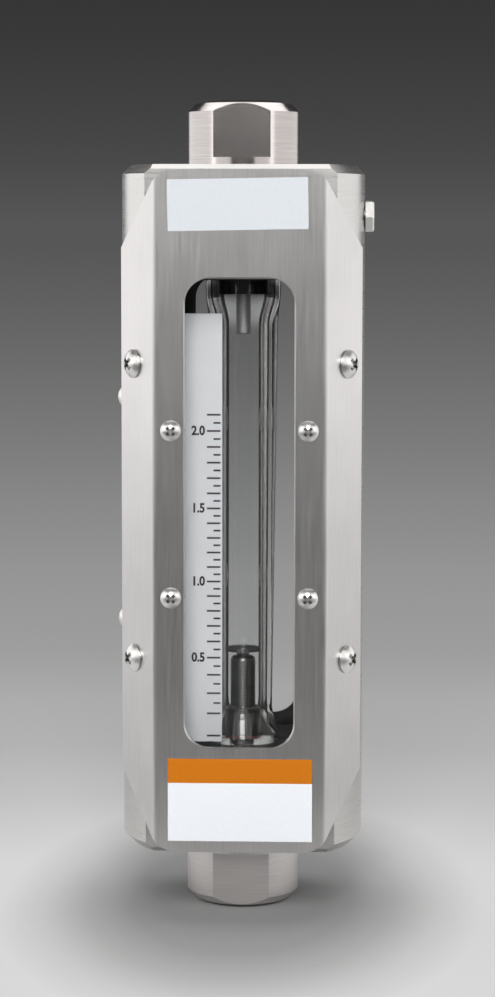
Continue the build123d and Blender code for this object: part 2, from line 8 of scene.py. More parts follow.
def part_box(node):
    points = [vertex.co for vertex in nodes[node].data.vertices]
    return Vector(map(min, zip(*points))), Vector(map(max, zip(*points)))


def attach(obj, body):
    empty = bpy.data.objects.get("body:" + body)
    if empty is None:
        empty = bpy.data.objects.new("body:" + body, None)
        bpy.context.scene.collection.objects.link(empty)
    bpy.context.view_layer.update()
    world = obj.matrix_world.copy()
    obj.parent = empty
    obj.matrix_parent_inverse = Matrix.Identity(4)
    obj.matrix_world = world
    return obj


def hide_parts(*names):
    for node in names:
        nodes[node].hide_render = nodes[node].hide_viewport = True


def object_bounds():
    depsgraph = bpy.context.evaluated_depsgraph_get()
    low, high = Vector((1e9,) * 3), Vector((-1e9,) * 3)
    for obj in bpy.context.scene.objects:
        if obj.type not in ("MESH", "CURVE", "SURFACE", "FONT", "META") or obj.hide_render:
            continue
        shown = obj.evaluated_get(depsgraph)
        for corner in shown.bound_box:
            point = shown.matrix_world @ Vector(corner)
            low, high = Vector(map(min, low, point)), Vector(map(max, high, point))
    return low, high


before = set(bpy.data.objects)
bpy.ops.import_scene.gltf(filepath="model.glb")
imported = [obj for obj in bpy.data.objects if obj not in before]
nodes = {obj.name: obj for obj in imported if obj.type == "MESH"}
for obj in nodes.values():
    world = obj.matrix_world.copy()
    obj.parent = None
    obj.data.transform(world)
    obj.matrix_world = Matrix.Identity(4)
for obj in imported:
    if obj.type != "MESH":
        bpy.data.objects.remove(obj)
cad_low, cad_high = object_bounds()

MM = 0.001

# Camera, as the photograph was taken: angles in degrees, lens and sensor in millimetres
CAMERA_PLACE = (34.3 * MM, -914.1 * MM, 230.7 * MM)
CAMERA_TILT = 84.25
CAMERA_TURN = 2.057
CAMERA_ROLL = 0.089
CAMERA_LENS = 97.11
CAMERA_START = 0.01
CAMERA_END = 50
SENSOR = 36.0

# Softboxes, in metres: where each stands, how wide and high it is, and its brightness
LAMP_AIM = (0, 0, 0.12)
SIDE_PLACE = (1.33, 0.24, 0.36)
SIDE_SIZE = (2.6, 1.4)
SIDE_LIGHT = 1.2
CORNER_PLACE = (1.06, -1.06, 0.75)
CORNER_SIZE = (1.3, 1.3)
CORNER_LIGHT = 1.2
RIGHT_SHARE = 0.9
FRONT_PLACE = (0, -1.4, 0.95)
FRONT_SIZE = (0.5, 0.9)
FRONT_LIGHT = 9.7
TOP_PLACE = (0, 0.45, 1.45)
TOP_SIZE = (1.6, 1.2)
TOP_LIGHT = 2.1

# Floor, in metres: lit up to FLOOR_NEAR, and all backdrop from FLOOR_FAR on
FLOOR_RADIUS = 30.0
FLOOR_SIDES = 96
FLOOR_ROUGHNESS = 0.9
FLOOR_NEAR = 0.25
FLOOR_FAR = 0.9
# Painted pool of light: the floor's tone, pale at the object and darker outwards
PAINTED_POOL_TONES = (
    (0.0, 0.72), (0.08, 0.63), (0.18, 0.51), (0.3, 0.43), (0.44, 0.40), (0.6, 0.33), (1.0, 0.27),
)

# How much a distance on the floor counts across and in front: as seen, and as metal mirrors it,
# where a painted reflection shows the floor darker sooner in front
POOL_WIDE = 0.6
POOL_SQUEEZE = 0.5
MIRROR_WIDE = 0.25
MIRROR_SQUEEZE = 12.0
MIRROR_FRONT = 0.11

# Painted light, a paler floor on both sides, and a painted shadow, the soft dark ellipse round the
# foot
SIDE_PAINTED_LIGHT = 0.8
SIDE_START = 0.22
SIDE_END = 0.45
SHADE_WIDE = 0.09
SHADE_DEEP = 0.175
SHADE_TONES = ((0.0, 0.42), (0.42, 0.46), (0.58, 0.6), (0.75, 0.84), (0.92, 1.0))

# Backdrop: tone against how near the floor is, and against the height of the view above it
FAR_TONES = (
    (0.0, 0.089), (0.032, 0.117), (0.093, 0.174), (0.183, 0.246), (0.336, 0.332), (0.643, 0.429),
    (1.0, 0.48),
)
ROOM_TONES = ((0.0, 0.096), (0.3, 0.067), (0.5, 0.055), (0.8, 0.042), (1.0, 0.037))
ROOM_RISE = 0.083
ROOM_LIGHT = 0.08

# Finishes: noise levels between which tone and roughness change, how dark the grain's troughs
# are beside its crests, and the share of slow haze in a metal's tone
CRISP = (0.3, 0.7)
SOFT = (0.2, 0.8)
SHEEN_DRIFT = 0.06
SCREW_TROUGH = 0.94
PAINT_TROUGH = 0.94
PAPER_TROUGH = 0.96
PAPER_STRETCH = (900, 900, 900)
PAPER_ROUGH = (0.32, 0.42)
PAPER_RELIEF = 0.01 * MM
HAZE_STRETCH = (30, 30, 30)
HAZE_SHARE = 0.35

# Recesses: how far their painted shade reaches, and how open a place is where it is all painted
# shade or all bare
RECESS_SHADE_REACH = 1.2 * MM
RECESS_SHADE_OPEN = (0.35, 0.8)
RECESS_RAYS = 8

# Painted shade on the insides: the bay's half width, its dark ends and tone, and the shields'
# sheet
BAY_HALF = 26 * MM
BAY_END = 9 * MM
BAY_MARGIN = 0.3
BAY_SHADE = 0.035
BODY_REACH = 300 * MM
SHEET = 1.5 * MM
EDGE_BLEND = 0.1 * MM

# Coloured band on the lower sticker: its lower edge, and how soft that edge is
BAND_LEVEL = 46.8 * MM
BAND_BLEND = 0.05 * MM

# From here on, lengths are in millimetres. Scale: height against reading, ticks and numbers.
# The real scale has no tick at SCALE_SKIPPED
SCALE_FOOT = 74.45
SCALE_RISE = 34.72
SCALE_BEND = 4.76
SCALE_DIP = 24.18
SCALE_FADE = 0.4147
SCALE_STEPS = 20
SCALE_FIRST = 2
SCALE_SKIPPED = 3
SCALE_LAST = 42
SCALE_NUMBERED = (5, 10, 15, 20)
SCALE_FACE = -14.0
TICK_RIGHT = -7.16
TICK_LONG = 4.54
TICK_SHORT = 2.34
TICK_HEIGHT = 0.6
PRINT_PROUD = 0.02
NUMBER_RIGHT = -12.4
NUMBER_HEIGHT = 3.0
NUMBER_WIDTH = 0.86
NUMBER_WEIGHT = 0.15
CAPITAL_SHARE = 0.7

# Port threads: the flanks' half widths are shares of the pitch
THREAD_PITCH = 1.814
THREAD_DEPTH = 0.9
THREAD_STEPS = 48
THREAD_FADE = 12
THREAD_START = 1.6
THREAD_END = 14.6
THREAD_FOOT = 0.42
THREAD_CREST = 0.06
PORT_RADIUS = 9.25

# Metering tube: radii at the foot and the head of its straight taper, and how its ends open
TUBE_SIDES = 160
TUBE_RINGS = 96
TAPER_LOW = 67.5
TAPER_HIGH = 198.0
OUTSIDE_LOW = 9.85
OUTSIDE_HIGH = 11.97
BORE_LOW = 6.45
BORE_HIGH = 6.55
BAY_FLOOR = 55.5
BAY_CEILING = 213.5
TUBE_END_RADIUS = 12.45
FOOT_BORE = 10.8
FOOT_BORE_TOP = 56.3
FOOT_BORE_RISE = 9.5
HEAD_BORE = 8.6
HEAD_BORE_LEVEL = 208.6
HEAD_BORE_DROP = 11.1
HEAD_BULGE = 12.85
HEAD_BULGE_LEVEL = 211.5
SAME_HEIGHT = 1e-4

# Float mark
MARK_HEIGHT = 0.3
MARK_LEVEL = 57.2
MARK_PROUD = 0.03
MARK_BITE = 0.1
MARK_SIDES = 64


# Links a node's output to a socket, or sets the socket to a plain value
def feed(tree, value, socket):
    if isinstance(value, bpy.types.NodeSocket):
        tree.links.new(value, socket)
    else:
        socket.default_value = value


def object_position(tree, stretch):
    place = tree.nodes.new("ShaderNodeTexCoord")
    mapping = tree.nodes.new("ShaderNodeMapping")
    mapping.inputs["Scale"].default_value = stretch
    tree.links.new(place.outputs["Object"], mapping.inputs["Vector"])
    return mapping.outputs["Vector"]


def split_position(tree, stretch=(1, 1, 1)):
    made = tree.nodes.new("ShaderNodeSeparateXYZ")
    tree.links.new(object_position(tree, stretch), made.inputs["Vector"])
    return made.outputs


def noise(tree, stretch, detail=4.0, roughness=0.6):
    made = tree.nodes.new("ShaderNodeTexNoise")
    made.inputs["Scale"].default_value = 1.0
    made.inputs["Detail"].default_value = detail
    made.inputs["Roughness"].default_value = roughness
    tree.links.new(object_position(tree, stretch), made.inputs["Vector"])
    return made.outputs["Fac"]


def between(tree, source, start, end, low, high):
    made = tree.nodes.new("ShaderNodeMapRange")
    made.inputs["From Min"].default_value = start
    made.inputs["From Max"].default_value = end
    made.inputs["To Min"].default_value = low
    made.inputs["To Max"].default_value = high
    tree.links.new(source, made.inputs["Value"])
    return made.outputs["Result"]


def calculate(tree, operation, first, second=0.0, clamp=False):
    made = tree.nodes.new("ShaderNodeMath")
    made.operation = operation
    made.use_clamp = clamp
    feed(tree, first, made.inputs[0])
    feed(tree, second, made.inputs[1])
    return made.outputs["Value"]


def vector_length(tree, vector):
    made = tree.nodes.new("ShaderNodeVectorMath")
    made.operation = "LENGTH"
    tree.links.new(vector, made.inputs[0])
    return made.outputs["Value"]


def colour_ramp(tree, source, stops):
    made = tree.nodes.new("ShaderNodeValToRGB")
    ramp = made.color_ramp
    for place, _ in stops[1:-1]:
        ramp.elements.new(place)
    for element, (place, colour) in zip(ramp.elements, stops):
        element.position = place
        element.color = (*colour, 1.0)
    tree.links.new(source, made.inputs["Fac"])
    return made.outputs["Color"]


def mix_colours(tree, factor, first, second, blend="MIX"):
    made = tree.nodes.new("ShaderNodeMix")
    made.data_type = "RGBA"
    made.blend_type = blend
    for value, socket in ((factor, 0), (first, 6), (second, 7)):
        feed(tree, value, made.inputs[socket])
    return made.outputs[2]


def mix_shaders(tree, factor, first, second, output):
    made = tree.nodes.new("ShaderNodeMixShader")
    tree.links.new(factor, made.inputs["Fac"])
    tree.links.new(first.outputs[0], made.inputs[1])
    tree.links.new(second.outputs[0], made.inputs[2])
    tree.links.new(made.outputs["Shader"], output.inputs["Surface"])


def bump(tree, shader, source, height):
    made = tree.nodes.new("ShaderNodeBump")
    made.inputs["Distance"].default_value = height
    tree.links.new(source, made.inputs["Height"])
    tree.links.new(made.outputs["Normal"], shader.inputs["Normal"])


def principled(name, metallic=0.0, ior=1.5, specular=0.5):
    made = bpy.data.materials.new(name)
    made.use_nodes = True
    shader = made.node_tree.nodes["Principled BSDF"]
    shader.inputs["Metallic"].default_value = metallic
    shader.inputs["IOR"].default_value = ior
    shader.inputs["Specular IOR Level"].default_value = specular
    return made, made.node_tree, shader


# Two tones of one colour, dark in the grain's troughs and light on its crests
def grained(tree, grain, dark, light):
    return colour_ramp(tree, grain, tuple(zip(CRISP, (dark, light))))


def dulled(colour, share):
    return tuple(share * part for part in colour)


# Brushed or turned metal: spread is how far the grain widens a highlight, turn its direction
def metal(name, dark, light, stretch, rough, relief, spread=0.0, turn=0.0):
    made, tree, shader = principled(name, metallic=1.0)
    shader.inputs["Anisotropic"].default_value = spread
    shader.inputs["Anisotropic Rotation"].default_value = turn
    grain = noise(tree, stretch)
    haze = noise(tree, HAZE_STRETCH, detail=2.0)
    tone = tree.nodes.new("ShaderNodeMix")
    tone.data_type = "FLOAT"
    tone.inputs["Factor"].default_value = HAZE_SHARE
    tree.links.new(grain, tone.inputs["A"])
    tree.links.new(haze, tone.inputs["B"])
    colour = grained(tree, tone.outputs["Result"], dark, light)
    tree.links.new(colour, shader.inputs["Base Color"])
    tree.links.new(between(tree, grain, *CRISP, *rough), shader.inputs["Roughness"])
    bump(tree, shader, grain, relief)
    return made


# 1 inside a box that stands on the object's axis, and 0 outside it
def inside_box(tree, half_width, half_depth, low, high):
    place = split_position(tree)
    inside = between(tree, place["Z"], low - EDGE_BLEND, low, 0.0, 1.0)
    limits = [(place["Z"], high)]
    for axis, limit in (("X", half_width), ("Y", half_depth)):
        limits.append((calculate(tree, "ABSOLUTE", place[axis]), limit))
    for source, limit in limits:
        below = between(tree, source, limit, limit + EDGE_BLEND, 1.0, 0.0)
        inside = calculate(tree, "MULTIPLY", inside, below)
    return inside


# Painted shade: dull and dark inside the boxes that the spans of height give, whatever the finish
# is outside
def paint_shade_inside(finish, half_width, half_depth, spans):
    tree = finish.node_tree
    shader = tree.nodes["Principled BSDF"]
    inside = 0.0
    for low, high in spans:
        box = inside_box(tree, half_width, half_depth, low, high)
        inside = calculate(tree, "MAXIMUM", box, inside)
    outside = shader.inputs["Base Color"].links[0].from_socket
    colour = mix_colours(tree, inside, outside, (BAY_SHADE, BAY_SHADE, BAY_SHADE, 1))
    tree.links.new(colour, shader.inputs["Base Color"])
    tree.links.new(between(tree, inside, 0.0, 1.0, 1.0, 0.0), shader.inputs["Metallic"])


# Bright metal with painted shade down in its recesses and along its joints
def recess_shaded_metal(name, recess_shade, bare, stretch, rough):
    made, tree, shader = principled(name, metallic=1.0)
    grain = noise(tree, stretch)
    inside = tree.nodes.new("ShaderNodeAmbientOcclusion")
    inside.samples = RECESS_RAYS
    inside.inputs["Distance"].default_value = RECESS_SHADE_REACH
    openness = between(tree, inside.outputs["AO"], *RECESS_SHADE_OPEN, 0.0, 1.0)
    outside = grained(tree, grain, dulled(bare, SCREW_TROUGH), bare)
    colour = mix_colours(tree, openness, (*recess_shade, 1), outside)
    tree.links.new(colour, shader.inputs["Base Color"])
    tree.links.new(between(tree, grain, *CRISP, *rough), shader.inputs["Roughness"])
    return made


# Plastic, rubber, paint or print
def plain(name, dark, light, stretch, rough, relief, specular=0.5):
    made, tree, shader = principled(name, specular=specular)
    grain = noise(tree, stretch)
    tree.links.new(grained(tree, grain, dark, light), shader.inputs["Base Color"])
    sheen = between(tree, grain, *SOFT, rough - SHEEN_DRIFT, rough + SHEEN_DRIFT)
    tree.links.new(sheen, shader.inputs["Roughness"])
    bump(tree, shader, grain, relief)
    return made


# What stands inside glass is lit by the lamps outside it
def let_light_in(tree, shader):
    open_air = tree.nodes.new("ShaderNodeBsdfTransparent")
    path = tree.nodes.new("ShaderNodeLightPath")
    output = tree.nodes["Material Output"]
    mix_shaders(tree, path.outputs["Is Shadow Ray"], shader, open_air, output)


def glass(name, tint, stretch, ior, rough):
    made, tree, shader = principled(name, ior=ior)
    shader.inputs["Transmission Weight"].default_value = 1.0
    drift = noise(tree, stretch, detail=1.0)
    tree.links.new(grained(tree, drift, tint, (1, 1, 1)), shader.inputs["Base Color"])
    tree.links.new(between(tree, drift, *SOFT, *rough), shader.inputs["Roughness"])
    let_light_in(tree, shader)
    return made


# A flat pane: seen straight through, with a share of a rough reflection
def clear_pane(name, tint, stretch, ior, rough, share):
    made, tree, shader = principled(name, ior=ior)
    shader.inputs["Transmission Weight"].default_value = 1.0
    drift = noise(tree, stretch, detail=2.0)
    tree.links.new(grained(tree, drift, tint, (1, 1, 1)), shader.inputs["Base Color"])
    tree.links.new(between(tree, drift, *CRISP, *rough), shader.inputs["Roughness"])
    see_through = tree.nodes.new("ShaderNodeBsdfTransparent")
    facing = tree.nodes.new("ShaderNodeFresnel")
    facing.inputs["IOR"].default_value = ior
    mirrored = calculate(tree, "MULTIPLY", facing.outputs["Fac"], share)
    mix_shaders(tree, mirrored, see_through, shader, tree.nodes["Material Output"])
    return made


# Printed paper: a plain field, with a band of another colour from band_level up
def sticker(name, field, band=None, band_level=0.0):
    made, tree, shader = principled(name, specular=0.25)
    paper = noise(tree, PAPER_STRETCH)
    colour = grained(tree, paper, dulled(field, PAPER_TROUGH), field)
    if band:
        start, end = band_level - BAND_BLEND, band_level + BAND_BLEND
        edge = between(tree, split_position(tree)["Z"], start, end, 0.0, 1.0)
        paint = grained(tree, paper, dulled(band, PAINT_TROUGH), band)
        colour = mix_colours(tree, edge, colour, paint)
    tree.links.new(colour, shader.inputs["Base Color"])
    tree.links.new(between(tree, paper, *SOFT, *PAPER_ROUGH), shader.inputs["Roughness"])
    bump(tree, shader, paper, PAPER_RELIEF)
    return made


shield_steel = metal(
    "shield_steel", (0.585, 0.57, 0.56), (0.735, 0.715, 0.705), stretch=(3200, 3200, 60),
    rough=(0.30, 0.42), relief=0.0012 * MM, spread=0.6,
)
body_steel = metal(
    "body_steel", (0.56, 0.545, 0.53), (0.66, 0.645, 0.625), stretch=(60, 60, 2600),
    rough=(0.26, 0.34), relief=0.0006 * MM,
)
fitting_steel = metal(
    "fitting_steel", (0.44, 0.405, 0.395), (0.55, 0.515, 0.50), stretch=(60, 60, 2200),
    rough=(0.15, 0.21), relief=0.0002 * MM,
)
inlet_steel = metal(
    "inlet_steel", (0.60, 0.57, 0.555), (0.76, 0.73, 0.715), stretch=(60, 60, 2200),
    rough=(0.34, 0.44), relief=0.0006 * MM,
)
float_steel = metal(
    "float_steel", (0.22, 0.215, 0.21), (0.32, 0.315, 0.31), stretch=(200, 200, 3000),
    rough=(0.27, 0.33), relief=0.0003 * MM, spread=0.85, turn=0.25,
)
pin_steel = metal(
    "pin_steel", (0.60, 0.60, 0.60), (0.66, 0.66, 0.66), stretch=(300, 300, 300),
    rough=(0.4, 0.48), relief=0.0004 * MM,
)
# Screws: painted shade in their recesses
screw_steel = recess_shaded_metal(
    "screw_steel", (0.06, 0.05, 0.045), (0.80, 0.79, 0.77), stretch=(700, 700, 700),
    rough=(0.28, 0.38),
)
tube_glass = glass(
    "tube_glass", (0.97, 0.985, 0.98), stretch=(60, 60, 20), ior=1.474, rough=(0.0, 0.01),
)
pane_clear = clear_pane(
    "pane_clear", (0.95, 0.96, 0.96), stretch=(80, 80, 80), ior=1.45, rough=(0.03, 0.07),
    share=0.6,
)
white_ptfe = plain(
    "white_ptfe", (0.70, 0.70, 0.69), (0.80, 0.80, 0.79), stretch=(500, 500, 500),
    rough=0.5, relief=0.01 * MM,
)
black_plastic = plain(
    "black_plastic", (0.008, 0.008, 0.009), (0.016, 0.016, 0.018), stretch=(700, 700, 700),
    rough=0.45, relief=0.01 * MM, specular=0.25,
)
seal_rubber = plain(
    "seal_rubber", (0.010, 0.010, 0.010), (0.020, 0.020, 0.020), stretch=(600, 600, 600),
    rough=0.6, relief=0.01 * MM,
)
scale_white = plain(
    "scale_white", (0.89, 0.905, 0.93), (0.92, 0.935, 0.955), stretch=(120, 120, 120),
    rough=0.4, relief=0.005 * MM,
)
print_black = plain(
    "print_black", (0.004, 0.004, 0.005), (0.010, 0.010, 0.011), stretch=(800, 800, 800),
    rough=0.5, relief=0.002 * MM,
)
mark_red = plain(
    "mark_red", (0.26, 0.025, 0.02), (0.32, 0.04, 0.03), stretch=(800, 800, 800),
    rough=0.4, relief=0.002 * MM,
)
upper_sticker = sticker("upper_sticker", (0.67, 0.70, 0.735))
lower_sticker = sticker("lower_sticker", (0.88, 0.905, 0.94), (0.63, 0.183, 0.002), BAND_LEVEL)

bay_foot = (BAY_FLOOR - BAY_MARGIN) * MM
bay_head = (BAY_CEILING + BAY_MARGIN) * MM
bay_ends = ((bay_foot, bay_foot + BAY_END), (bay_head - BAY_END, bay_head))
sheet_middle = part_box("rear_shield")[1][1] - SHEET / 2
# Painted shade on the body's bay ends and on the shields' inner faces
paint_shade_inside(body_steel, BAY_HALF, BODY_REACH, bay_ends)
paint_shade_inside(shield_steel, BAY_HALF, sheet_middle, ((0.0, BODY_REACH),))

FINISHES = {
    "body_frame": body_steel,
    "inlet_fitting": inlet_steel,
    "outlet_fitting": fitting_steel,
    "inlet_seal": seal_rubber,
    "outlet_seal": seal_rubber,
    "glass_tube": tube_glass,
    "lower_packing": white_ptfe,
    "upper_packing": white_ptfe,
    "lower_follower": fitting_steel,
    "upper_follower": fitting_steel,
    "lower_stop": white_ptfe,
    "upper_stop": black_plastic,
    "stop_pin": pin_steel,
    "float": float_steel,
    "front_shield": shield_steel,
    "rear_shield": shield_steel,
    "front_pane": pane_clear,
    "rear_pane": pane_clear,
    "front_window_screws": screw_steel,
    "rear_window_screws": screw_steel,
    "front_shield_screws": screw_steel,
    "rear_shield_screws": screw_steel,
    "scale_screws": screw_steel,
    "front_window_nuts": screw_steel,
    "rear_window_nuts": screw_steel,
    "scale_nuts": screw_steel,
    "scale_plate": scale_white,
    "lock_screw": screw_steel,
    "upper_label": upper_sticker,
    "lower_label": lower_sticker,
}

for name, node in nodes.items():
    node.data.materials.clear()
    node.data.materials.append(FINISHES[name])


def new_mesh(name, shape):
    mesh = bpy.data.meshes.new(name)
    shape.to_mesh(mesh)
    shape.free()
    return mesh


def new_object(name, data):
    made = bpy.data.objects.new(name, data)
    bpy.context.scene.collection.objects.link(made)
    return made


def new_piece(name, mesh, finish, body):
    piece = new_object(name, mesh)
    mesh.materials.clear()
    mesh.materials.append(finish)
    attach(piece, body)
    return piece


def add_block(shape, low, high):
    corners = [
        Vector((x, y, z))
        for x in (low[0], high[0])
        for y in (low[1], high[1])
        for z in (low[2], high[2])
    ]
    vertices = [shape.verts.new(c * MM) for c in corners]
    sides = ((0, 1, 3, 2), (4, 6, 7, 5), (0, 4, 5, 1), (2, 3, 7, 6), (0, 2, 6, 4), (1, 5, 7, 3))
    for loop in sides:
        shape.faces.new([vertices[i] for i in loop])


# Height of a reading on the scale: crowded steps near the foot, nearly even ones above
def scale_level(reading):
    even = SCALE_FOOT + SCALE_RISE * reading + SCALE_BEND * reading ** 2
    return even - SCALE_DIP * math.exp(-reading / SCALE_FADE)


def scale_ticks():
    shape = bmesh.new()
    for count in range(SCALE_FIRST, SCALE_LAST + 1):
        if count == SCALE_SKIPPED:
            continue
        level = scale_level(count / SCALE_STEPS)
        length = TICK_SHORT if count % 2 else TICK_LONG
        low = (TICK_RIGHT - length, SCALE_FACE - PRINT_PROUD, level - TICK_HEIGHT / 2)
        high = (TICK_RIGHT, SCALE_FACE + PRINT_PROUD, level + TICK_HEIGHT / 2)
        add_block(shape, low, high)
    return new_piece("scale_ticks", new_mesh("scale_ticks", shape), print_black, "meter")


def scale_numbers():
    for tenths in SCALE_NUMBERED:
        text = bpy.data.curves.new("number", "FONT")
        text.body = f"{tenths / 10:.1f}"
        text.align_x = "RIGHT"
        text.align_y = "CENTER"
        text.size = NUMBER_HEIGHT * MM / CAPITAL_SHARE
        text.extrude = PRINT_PROUD * MM
        text.offset = NUMBER_WEIGHT * MM
        made = new_object("number", text)
        bpy.context.view_layer.update()
        mesh = bpy.data.meshes.new_from_object(made)
        bpy.data.objects.remove(made)
        place = Vector((NUMBER_RIGHT, SCALE_FACE, scale_level(tenths / 10))) * MM
        upright = Matrix.Rotation(math.radians(90), 4, "X")
        narrow = Matrix.Diagonal((NUMBER_WIDTH, 1, 1, 1))
        mesh.transform(Matrix.Translation(place) @ upright @ narrow)
        new_piece(f"scale_number_{tenths}", mesh, print_black, "meter")


# Faces between two rows of vertices, each row closed on itself
def join_rows(shape, first, second, smooth=False):
    for i in range(len(first)):
        j = (i + 1) % len(first)
        shape.faces.new((first[i], first[j], second[j], second[i])).smooth = smooth


# One helical ridge that runs in from a port's face at the height top
def port_thread(name, top, inward):
    shape = bmesh.new()
    rows = []
    count = int((THREAD_END - THREAD_START) / THREAD_PITCH * THREAD_STEPS)
    for step in range(count + 1):
        angle = 2 * math.pi * step / THREAD_STEPS
        level = THREAD_START + THREAD_PITCH * step / THREAD_STEPS
        fade = min(1.0, step / THREAD_FADE, (count - step) / THREAD_FADE)
        crest = PORT_RADIUS - THREAD_DEPTH * fade
        profile = (
            (PORT_RADIUS, -THREAD_FOOT), (crest, -THREAD_CREST),
            (crest, THREAD_CREST), (PORT_RADIUS, THREAD_FOOT),
        )
        row = []
        for radius, drop in profile:
            height = top + inward * (level + drop * THREAD_PITCH)
            point = Vector((radius * math.cos(angle), radius * math.sin(angle), height))
            row.append(shape.verts.new(point * MM))
        rows.append(row)
    for first, second in zip(rows, rows[1:]):
        join_rows(shape, first, second)
    bmesh.ops.recalc_face_normals(shape, faces=shape.faces)
    mesh = new_mesh(name, shape)
    return new_piece(name, mesh, fitting_steel, "meter")


def ease(start, end, share):
    share = min(max(share, 0.0), 1.0)
    return start + (end - start) * share * share * (3 - 2 * share)


def taper(low, high, level):
    share = (level - BAY_FLOOR) / (BAY_CEILING - BAY_FLOOR)
    return low + (high - low) * share


def outside_radius(level):
    if level < TAPER_LOW:
        share = (level - BAY_FLOOR) / (TAPER_LOW - BAY_FLOOR)
        return ease(TUBE_END_RADIUS, taper(OUTSIDE_LOW, OUTSIDE_HIGH, TAPER_LOW), share)
    if level > HEAD_BULGE_LEVEL:
        share = (level - HEAD_BULGE_LEVEL) / (BAY_CEILING - HEAD_BULGE_LEVEL)
        return ease(HEAD_BULGE, TUBE_END_RADIUS, share)
    if level > TAPER_HIGH:
        share = (level - TAPER_HIGH) / (HEAD_BULGE_LEVEL - TAPER_HIGH)
        return ease(taper(OUTSIDE_LOW, OUTSIDE_HIGH, TAPER_HIGH), HEAD_BULGE, share)
    return taper(OUTSIDE_LOW, OUTSIDE_HIGH, level)


def bore_radius(level):
    throat_low = FOOT_BORE_TOP + FOOT_BORE_RISE
    throat_high = HEAD_BORE_LEVEL - HEAD_BORE_DROP
    if level < throat_low:
        share = (level - FOOT_BORE_TOP) / FOOT_BORE_RISE
        return ease(FOOT_BORE, taper(BORE_LOW, BORE_HIGH, throat_low), share)
    if level > throat_high:
        share = (level - throat_high) / HEAD_BORE_DROP
        return ease(taper(BORE_LOW, BORE_HIGH, throat_high), HEAD_BORE, share)
    return taper(BORE_LOW, BORE_HIGH, level)


# Closed ring-shaped body from a loop of (radius, height) points
def lathe(name, loop, sides):
    shape = bmesh.new()
    rings = []
    for radius, height in loop:
        ring = []
        for step in range(sides):
            angle = 2 * math.pi * step / sides
            point = (radius * math.cos(angle) * MM, radius * math.sin(angle) * MM, height * MM)
            ring.append(shape.verts.new(point))
        rings.append(ring)
    for first, second in zip(rings, rings[1:] + rings[:1]):
        join_rows(shape, first, second, smooth=True)
    bmesh.ops.recalc_face_normals(shape, faces=shape.faces)
    return new_mesh(name, shape)


def metering_tube():
    low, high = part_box("glass_tube")
    start, end = low.z / MM, high.z / MM
    levels = [start + (end - start) * i / TUBE_RINGS for i in range(TUBE_RINGS + 1)]
    levels += [BAY_FLOOR, FOOT_BORE_TOP, HEAD_BORE_LEVEL, HEAD_BULGE_LEVEL, BAY_CEILING]
    levels.sort()
    loop = [(outside_radius(level), level) for level in levels]
    loop += [(bore_radius(level), level) for level in reversed(levels)]
    mesh = lathe("metering_tube", loop, TUBE_SIDES)
    for edge in mesh.edges:
        heights = [mesh.vertices[i].co.z / MM for i in edge.vertices]
        for level in (start, end):
            if all(abs(height - level) < SAME_HEIGHT for height in heights):
                edge.use_edge_sharp = True
    piece = new_piece("metering_tube", mesh, tube_glass, "meter")
    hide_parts("glass_tube")
    return piece


def float_mark():
    _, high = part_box("float")
    radius = high.x / MM + MARK_PROUD
    bottom = MARK_LEVEL - MARK_HEIGHT / 2
    top = MARK_LEVEL + MARK_HEIGHT / 2
    inner = radius - MARK_BITE
    loop = ((inner, bottom), (radius, bottom), (radius, top), (inner, top))
    return new_piece("float_mark", lathe("float_mark", loop, MARK_SIDES), mark_red, "float")


scale_ticks()
scale_numbers()
port_thread("inlet_thread", 0.0, 1)
port_thread("outlet_thread", cad_high.z / MM, -1)
metering_tube()
float_mark()


def studio_grey(stops):
    return tuple((place, (level, level, level)) for place, level in stops)


# How much a ray is the camera's own, or one that metal or glass sends on from it
def seen_rays(tree):
    path = tree.nodes.new("ShaderNodeLightPath")
    total = path.outputs["Is Camera Ray"]
    for kind in ("Is Transmission Ray", "Is Glossy Ray"):
        total = calculate(tree, "ADD", total, path.outputs[kind], clamp=True)
    return total


# A place on the floor, squeezed across and, from front on, before the object
def squeezed_floor(tree, across, before, front):
    place = split_position(tree, (across, 1, 1))
    far = FLOOR_RADIUS
    behind = between(tree, place["Y"], 0.0, far, 0.0, far)
    ahead = between(tree, place["Y"], -front - far, -front, before * far, 0.0)
    squeezed = tree.nodes.new("ShaderNodeCombineXYZ")
    tree.links.new(place["X"], squeezed.inputs["X"])
    tree.links.new(calculate(tree, "ADD", behind, ahead), squeezed.inputs["Y"])
    return squeezed.outputs["Vector"]


# How far out a place on the floor counts: seen, the painted pool of light is long in front, and
# mirrored, short, a painted reflection of a darker floor
def floor_reach(tree):
    path = tree.nodes.new("ShaderNodeLightPath")
    place = tree.nodes.new("ShaderNodeMix")
    place.data_type = "VECTOR"
    tree.links.new(path.outputs["Is Glossy Ray"], place.inputs["Factor"])
    tree.links.new(squeezed_floor(tree, POOL_WIDE, POOL_SQUEEZE, 0.0), place.inputs[4])
    mirrored = squeezed_floor(tree, MIRROR_WIDE, MIRROR_SQUEEZE, MIRROR_FRONT)
    tree.links.new(mirrored, place.inputs[5])
    return vector_length(tree, place.outputs[1])


# Painted light: the floor's colour gets paler towards the lamps on both sides
def paint_side_light(tree, tone):
    aside = calculate(tree, "ABSOLUTE", split_position(tree)["X"])
    share = between(tree, aside, SIDE_START, SIDE_END, 0.0, 1.0)
    return mix_colours(tree, share, tone, (SIDE_PAINTED_LIGHT, SIDE_PAINTED_LIGHT, SIDE_PAINTED_LIGHT, 1))


# Painted shadow: the floor is darker in a soft ellipse round the object's foot
def paint_foot_shadow(tree, tone):
    place = tree.nodes.new("ShaderNodeVectorMath")
    place.operation = "MULTIPLY"
    place.inputs[1].default_value = (1 / SHADE_WIDE, 1 / SHADE_DEEP, 0)
    tree.links.new(object_position(tree, (1, 1, 1)), place.inputs[0])
    reach = vector_length(tree, place.outputs["Vector"])
    shade = colour_ramp(tree, reach, studio_grey(SHADE_TONES))
    return mix_colours(tree, 1.0, tone, shade, blend="MULTIPLY")
